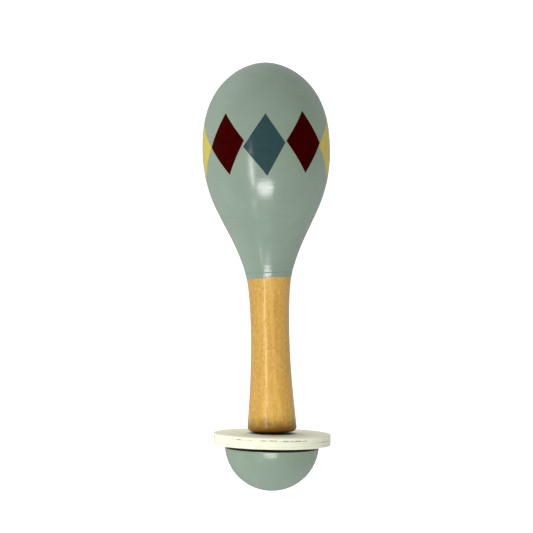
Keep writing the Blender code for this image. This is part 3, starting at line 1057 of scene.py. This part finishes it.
def rim_voids(turn, depth, clapper):
    """How torn the rim is, from 0 to 1: each void is a bell across its glue line, cut off softly at its
    two ends, and all are bitten into by three sines round the turn. The lower glue line is faint."""
    torn = LOWER_GLUE_DARK * bell(depth, clapper.lower_glue, clapper.glue_width * LOWER_GLUE_SHARE)
    bites = sum(share * np.sin(count * turn + phase) for count, phase, share in VOID_BITES)
    for first, last, darkness, tall, lower in VOIDS:
        inside = np.minimum(turn - math.radians(first), math.radians(last) - turn) / VOID_EDGE
        reach = np.clip(inside + 0.5, 0.0, 1.0) * np.clip(VOID_COVER + VOID_BITE * bites, 0.0, 1.0)
        line = bell(depth, clapper.upper_glue + lower * MM, clapper.glue_width * tall)
        torn = np.maximum(torn, darkness * reach * line)
    return torn


# Rows of the rim, how far the painted shade reaches past and inside the edge of the part over it, and the
# painted shadow of the foot on the top
RIM_STEP = 0.0001
SHADE_OUT = 0.0008
SHADE_IN = 0.0020
FOOT_SHADE_EDGE = FOOT_RADIUS - 0.0010
FOOT_SHADOW = 0.25
FOOT_SHADOW_TURN = math.radians(5)
FOOT_SHADOW_REACH = math.radians(55)
FOOT_SHADOW_RADIUS = 0.0170
FOOT_SHADOW_WIDTH = 0.0065


def gap_shade_amount(radius, edge):
    """How much painted shade a face gets: 1 well inside the edge of the part over it, 0 just outside."""
    return np.clip((edge + SHADE_OUT - radius) / (SHADE_OUT + SHADE_IN), 0.0, 1.0)


def make_clapper_disc(scene):
    """The clapper: a leaning ring of plywood with rounded edges and torn voids pressed into its rim.

    Near the hole, under the foot and over the knob, it is painted dark as shade, and a painted shadow of
    the foot lies in front of that.
    """
    clapper = scene.maraca_clapper
    hole = SPINDLE_RADIUS + DISC_CLEARANCE
    core = DISC_RADIUS - EDGE_ROUND
    rim_top, rim_bottom = DISC_TOP - EDGE_ROUND, DISC_BOTTOM + EDGE_ROUND
    line = joined(
        straight((hole, DISC_TOP), (core, DISC_TOP)),
        arc((core, rim_top), EDGE_ROUND, 90, 0),
        straight((DISC_RADIUS, rim_top), (DISC_RADIUS, rim_bottom), step=RIM_STEP),
        arc((core, rim_bottom), EDGE_ROUND, 0, -90),
        straight((core, DISC_BOTTOM), (hole, DISC_BOTTOM), (hole, DISC_TOP))[:-1],
    )
    turn = turns(DISC_COLUMNS)
    on_rim = line[:, :1] > core
    void = on_rim * rim_voids(turn, DISC_TOP - line[:, 1:], clapper)
    flat = turned(line, DISC_COLUMNS, -clapper.void_depth * void)
    upper = line[:, 1:] > (DISC_TOP + DISC_BOTTOM) / 2
    # Painted shade near the hole: under the foot on the top face, over the knob on the bottom face
    rub = gap_shade_amount(line[:, :1], np.where(upper, FOOT_SHADE_EDGE, KNOB_RADIUS))
    # Painted shadow of the foot on the disc's top, in front of the foot
    foot_shadow = bell(turn, FOOT_SHADOW_TURN, FOOT_SHADOW_REACH) * bell(line[:, :1], FOOT_SHADOW_RADIUS, FOOT_SHADOW_WIDTH)
    rub = np.maximum(rub, FOOT_SHADOW * foot_shadow * upper * ~on_rim)
    fields = {"disc_place": flat, "void": void, "rub": rub}
    mesh = ring_mesh("clapper_plywood", leaning(flat), True, fields)
    material = cream_paint("cream_plywood", scene)
    piece(mesh, material, "clapper", "cream_paint", "clapper_disc")


def make_end_knob(scene):
    """The knob: blind bore, flat top, rounded edge and the ball's arc down to its lowest point."""
    marks = scene.maraca_turning
    centre = KNOB_TOP - KNOB_HEIGHT + KNOB_RADIUS
    bore = SPINDLE_RADIUS + GAP
    bore_floor = KNOB_TOP - KNOB_BORE_DEPTH
    level = KNOB_TOP - KNOB_ROUND
    reach = math.sqrt((KNOB_RADIUS - KNOB_ROUND) ** 2 - (level - centre) ** 2)
    shoulder = math.degrees(math.atan2(level - centre, reach))
    ball = arc((0.0, centre), KNOB_RADIUS, shoulder, -90, 2 * OUTLINE_SAMPLES)
    ball[-1, 0] = 0.0
    line = joined(
        straight((0.0, bore_floor), (bore, bore_floor), (bore, KNOB_TOP), (reach, KNOB_TOP)),
        arc((reach, level), KNOB_ROUND, 90, shoulder),
        spaced(ball, FINE_STEP),
    )
    turn = turns(HANDLE_COLUMNS)
    on_ball = (line[:, 1:] < level) & (line[:, :1] > bore)
    swell = on_ball * lathe_rings(line[:, 1:], turn, marks)
    flat = turned(line, HANDLE_COLUMNS, swell)
    # The knob's flat top is painted near black: painted shade in the slot between knob and disc
    rub = (line[:, 1:] > level) * np.ones_like(turn)
    mesh = ring_mesh("painted_end_knob", leaning(flat), fields={"rub": rub})
    material = sage_paint("worn_sage", scene, KNOB_SHINE)
    piece(mesh, material, "maraca", "sage_paint", "end_knob")


def make_spindle(scene):
    """The spindle: a leaning dowel with chamfered ends, from the handle's bore to the knob's."""
    top = HANDLE_BORE_DEPTH - GAP
    bottom = KNOB_TOP - KNOB_BORE_DEPTH + GAP
    neck = SPINDLE_RADIUS - EDGE_ROUND
    line = joined(
        straight((0.0, top), (neck, top)),
        straight((SPINDLE_RADIUS, top - EDGE_ROUND), (SPINDLE_RADIUS, bottom + EDGE_ROUND)),
        straight((neck, bottom), (0.0, bottom)),
    )
    flat = turned(line, SMALL_COLUMNS)
    mesh = ring_mesh("dowel_spindle", leaning(flat), fields={"dowel_place": flat})
    material = bare_dowel("dowel_wood", scene)
    piece(mesh, material, "maraca", "bare_dowel", "spindle")


def make_pellets():
    """The rattling shot: spheres (r cos a, r sin a) turned about Z, each where its solid lies."""
    material = pellet_steel("steel_shot")
    for number, node in enumerate(PELLETS, 1):
        low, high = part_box(node)
        radius = (high.z - low.z) / 2
        line = arc((0.0, 0.0), radius, 90, -90, SMALL_COLUMNS // 2)
        line[[0, -1], 0] = 0.0
        ball = turned(line, SMALL_COLUMNS) + np.array((low + high) / 2)
        mesh = ring_mesh("steel_pellet_%02d" % number, ball)
        body = frame["nodes"][node]["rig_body"]
        piece(mesh, material, body, "pellet_steel", node)


# Stage. Each panel: degrees round and above the front, reach and size in metres, and its power's name
PANELS = {
    "low_front_panel": (-4.0, -28.0, 0.75, (0.42, 0.17), "key"),
    "left_strip": (-27.5, -8.0, 0.62, (0.050, 0.40), "strip"),
    "low_left_panel": (-33.0, -39.0, 0.70, (0.12, 0.07), "patch"),
}
MIRROR_FRONT_Y, MIRROR_BACK_Y = -0.35, 0.55
BRIGHT_SIDE = (-0.82, 0.57, 0.0)
LIT_POINT = Vector((0.0, 0.0, 0.030))
FLOOR_RADIUS = 4.0
FLOOR_RINGS = 12
FLOOR_WHITE = 0.9


def area_light(name, turn, rise, reach, size, power):
    """A soft panel aimed at the maraca from so many degrees round and above the front."""
    lamp = bpy.data.lights.new(name, "AREA")
    lamp.shape = "ELLIPSE"
    lamp.size, lamp.size_y = size
    lamp.energy = power
    panel = placed(name, lamp)
    round_by, up_by = math.radians(turn), math.radians(rise)
    level = math.cos(up_by)
    way = Vector((math.sin(round_by) * level, -math.cos(round_by) * level, math.sin(up_by)))
    panel.location = LIT_POINT + way * reach
    panel.rotation_euler = (-way).to_track_quat("-Z", "Y").to_euler()
    panel.visible_camera = False


def make_floor(studio):
    """A round pale floor: rings of points at r = R (i / n)^2, all at one height.

    It is lifted towards white where it is seen, and lights nothing by that.
    """
    ring = FLOOR_RADIUS * (np.linspace(0.0, 1.0, FLOOR_RINGS)[:, None]) ** 2
    grid = swept(ring, -studio.floor_drop, turns(SMALL_COLUMNS))
    mesh = ring_mesh("studio_floor", grid)
    material, tree, shader = new_finish("floor_white", Roughness=0.9, Specular_IOR_Level=0.0)
    shader.inputs["Base Color"].default_value = opaque((FLOOR_WHITE,) * 3)
    shader.inputs["Emission Color"].default_value = opaque((1.0, 1.0, 1.0))
    seen = add(tree, "ShaderNodeLightPath").outputs["Is Camera Ray"]
    feed(shader, Emission_Strength=spread(tree, seen, 0.0, 1.0, 0.0, studio.floor_glow))
    mesh.materials.append(material)
    floor = placed("studio_floor", mesh)
    floor.visible_glossy = False


def make_world(scene, studio):
    """White all round: full white to the camera, and as light brightest behind on the left.

    Reflections see it dim in front, where a room would be, and brighter behind.
    """
    world = bpy.data.worlds.new("white_studio")
    scene.world = world
    world.use_nodes = True
    tree = world.node_tree
    path = add(tree, "ShaderNodeLightPath").outputs
    way = add(tree, "ShaderNodeTexCoord").outputs["Generated"]
    axes = add(tree, "ShaderNodeSeparateXYZ", {"Vector": way}).outputs
    toward = add(tree, "ShaderNodeVectorMath", {0: way, 1: BRIGHT_SIDE}, operation="DOT_PRODUCT")
    sky = spread(tree, toward.outputs["Value"], -1.0, 1.0, studio.ambient_dim, studio.ambient_bright)
    mirror = spread(tree, axes["Y"], MIRROR_FRONT_Y, MIRROR_BACK_Y, studio.mirror_front, studio.mirror_back)
    lit = add(tree, "ShaderNodeMix", {0: path["Is Glossy Ray"], 2: sky, 3: mirror}).outputs[0]
    background = tree.nodes["Background"]
    background.inputs["Color"].default_value = opaque((1.0, 1.0, 1.0))
    feed(background, Strength=worked(tree, "MAXIMUM", path["Is Camera Ray"], lit))


def make_camera(scene, studio):
    """The photograph's camera: level, straight in front, and rolled so that the maraca leans left."""
    data = bpy.data.cameras.new("photo_camera")
    data.sensor_width = SENSOR_WIDTH
    data.lens = studio.lens
    camera = placed("photo_camera", data)
    place = Matrix.Translation((studio.aside, -studio.distance, studio.height))
    upright = Matrix.Rotation(math.pi / 2, 4, "X")
    camera.matrix_world = place @ upright @ Matrix.Rotation(-studio.roll, 4, "Z")
    scene.camera = camera


def make_stage(scene):
    """Floor, white surroundings, three soft panels and the camera."""
    studio = scene.maraca_studio
    make_floor(studio)
    make_world(scene, studio)
    for name, (*place, power) in PANELS.items():
        area_light(name, *place, getattr(studio, power))
    scene.view_settings.view_transform = "Standard"
    make_camera(scene, studio)


class MARACA_OT_head_dome(bpy.types.Operator):
    """Turn and paint the dome of the head"""

    bl_idname = "maraca.head_dome"
    bl_label = "Head dome"

    def execute(self, context):
        make_head_dome(context.scene)
        return {"FINISHED"}


class MARACA_OT_head_funnel(bpy.types.Operator):
    """Turn and paint the funnel under the dome"""

    bl_idname = "maraca.head_funnel"
    bl_label = "Head funnel"

    def execute(self, context):
        make_head_funnel(context.scene)
        return {"FINISHED"}


class MARACA_OT_diamonds(bpy.types.Operator):
    """Paint the harlequin band round the head"""

    bl_idname = "maraca.diamonds"
    bl_label = "Harlequin diamonds"

    def execute(self, context):
        make_diamonds(context.scene)
        return {"FINISHED"}


class MARACA_OT_handle(bpy.types.Operator):
    """Turn and varnish the handle"""

    bl_idname = "maraca.handle"
    bl_label = "Handle"

    def execute(self, context):
        make_handle(context.scene)
        return {"FINISHED"}


class MARACA_OT_paint_lap(bpy.types.Operator):
    """Lap the head's paint over the top of the handle"""

    bl_idname = "maraca.paint_lap"
    bl_label = "Paint lap"

    def execute(self, context):
        make_paint_lap(context.scene)
        return {"FINISHED"}


class MARACA_OT_spindle(bpy.types.Operator):
    """Turn the spindle between handle and knob"""

    bl_idname = "maraca.spindle"
    bl_label = "Spindle"

    def execute(self, context):
        make_spindle(context.scene)
        return {"FINISHED"}


class MARACA_OT_clapper_disc(bpy.types.Operator):
    """Cut and paint the plywood clapper"""

    bl_idname = "maraca.clapper_disc"
    bl_label = "Clapper disc"

    def execute(self, context):
        make_clapper_disc(context.scene)
        return {"FINISHED"}


class MARACA_OT_end_knob(bpy.types.Operator):
    """Turn and paint the end knob"""

    bl_idname = "maraca.end_knob"
    bl_label = "End knob"

    def execute(self, context):
        make_end_knob(context.scene)
        return {"FINISHED"}


class MARACA_OT_pellets(bpy.types.Operator):
    """Lay the steel shot in the head"""

    bl_idname = "maraca.pellets"
    bl_label = "Rattle pellets"

    def execute(self, context):
        make_pellets()
        return {"FINISHED"}


class MARACA_OT_stage(bpy.types.Operator):
    """Set the floor, the lights and the camera"""

    bl_idname = "maraca.stage"
    bl_label = "Studio"

    def execute(self, context):
        make_stage(context.scene)
        return {"FINISHED"}


OPERATORS = (
    MARACA_OT_head_dome,
    MARACA_OT_head_funnel,
    MARACA_OT_diamonds,
    MARACA_OT_handle,
    MARACA_OT_paint_lap,
    MARACA_OT_spindle,
    MARACA_OT_clapper_disc,
    MARACA_OT_end_knob,
    MARACA_OT_pellets,
    MARACA_OT_stage,
)
GROUPS = {
    "maraca_paint": MaracaPaint,
    "maraca_wood": MaracaWood,
    "maraca_turning": MaracaTurning,
    "maraca_band": MaracaBand,
    "maraca_clapper": MaracaClapper,
    "maraca_studio": MaracaStudio,
}


class MARACA_PT_finish(bpy.types.Panel):
    """Lists the maraca's sizes, colours and steps"""

    bl_idname = "MARACA_PT_finish"
    bl_label = "Wooden maraca"
    bl_space_type = "VIEW_3D"
    bl_region_type = "UI"
    bl_category = "Maraca"

    def draw(self, context):
        for operator in OPERATORS:
            self.layout.operator(operator.bl_idname)
        for name, group in GROUPS.items():
            box = self.layout.box()
            box.label(text=group.__doc__)
            values = getattr(context.scene, name)
            for value in group.__annotations__:
                box.prop(values, value)


def register():
    """Make the groups, the operators and the panel known to Blender."""
    for group in GROUPS.values():
        bpy.utils.register_class(group)
    for name, group in GROUPS.items():
        setattr(bpy.types.Scene, name, PointerProperty(type=group))
    for operator in OPERATORS:
        bpy.utils.register_class(operator)
    bpy.utils.register_class(MARACA_PT_finish)


def unregister():
    """Take them away again, in the opposite order."""
    bpy.utils.unregister_class(MARACA_PT_finish)
    for operator in reversed(OPERATORS):
        bpy.utils.unregister_class(operator)
    for name, group in reversed(GROUPS.items()):
        delattr(bpy.types.Scene, name)
        bpy.utils.unregister_class(group)


def main():
    """Dress every piece and set the stage."""
    register()
    bpy.ops.maraca.head_dome()
    bpy.ops.maraca.head_funnel()
    bpy.ops.maraca.diamonds()
    bpy.ops.maraca.handle()
    bpy.ops.maraca.paint_lap()
    bpy.ops.maraca.spindle()
    bpy.ops.maraca.clapper_disc()
    bpy.ops.maraca.end_knob()
    bpy.ops.maraca.pellets()
    bpy.ops.maraca.stage()


if __name__ == "__main__":
    main()
